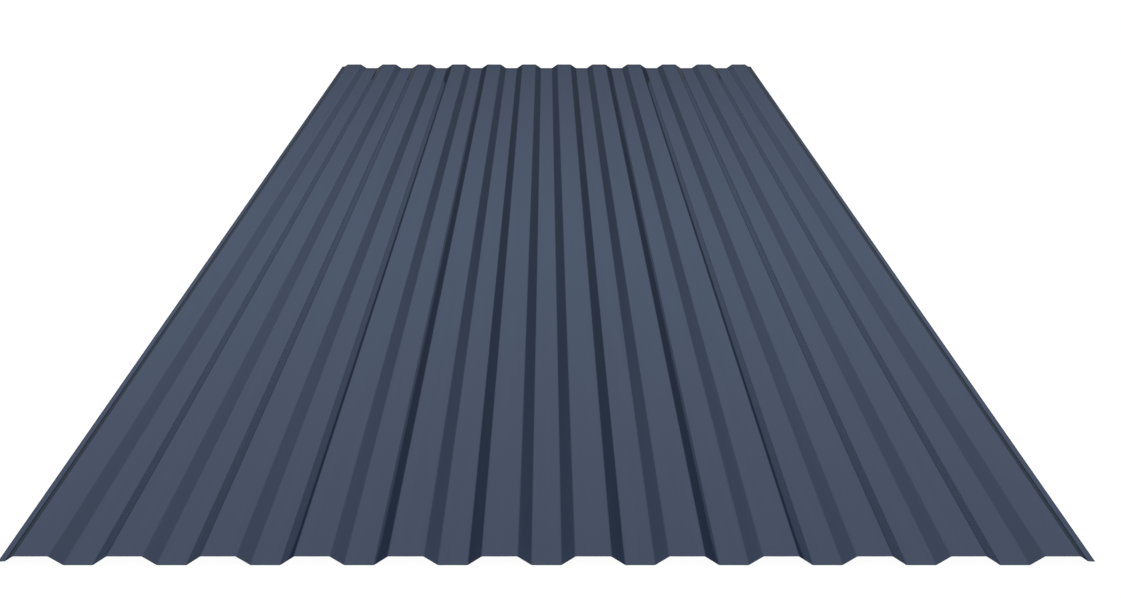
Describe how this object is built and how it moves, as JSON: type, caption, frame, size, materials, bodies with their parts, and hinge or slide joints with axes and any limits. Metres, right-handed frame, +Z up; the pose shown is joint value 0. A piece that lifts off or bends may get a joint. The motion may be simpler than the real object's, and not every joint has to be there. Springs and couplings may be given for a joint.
{
  "type": "metal roofing sheet",
  "caption": "Long flat-lying steel roofing or wall sheet, roll-formed into low trapezoidal ribs with half-web side laps, coil-coated dark blue-grey.",
  "frame": {"origin": "middle of the sheet's length and width, on the plane that the undersides of the valleys rest on", "axes": "+Y along the ribs and the length, +X across the ribs, +Z up out of the weather side"},
  "size_m": [1.1696, 3, 0.011],
  "materials": {
    "coil_coating": "semi-gloss polyester coil coating, dark blue-grey, over galvanised steel"
  },
  "bodies": {
    "root": {"roofing_sheet": "coil_coating"}
  },
  "joints": []
}
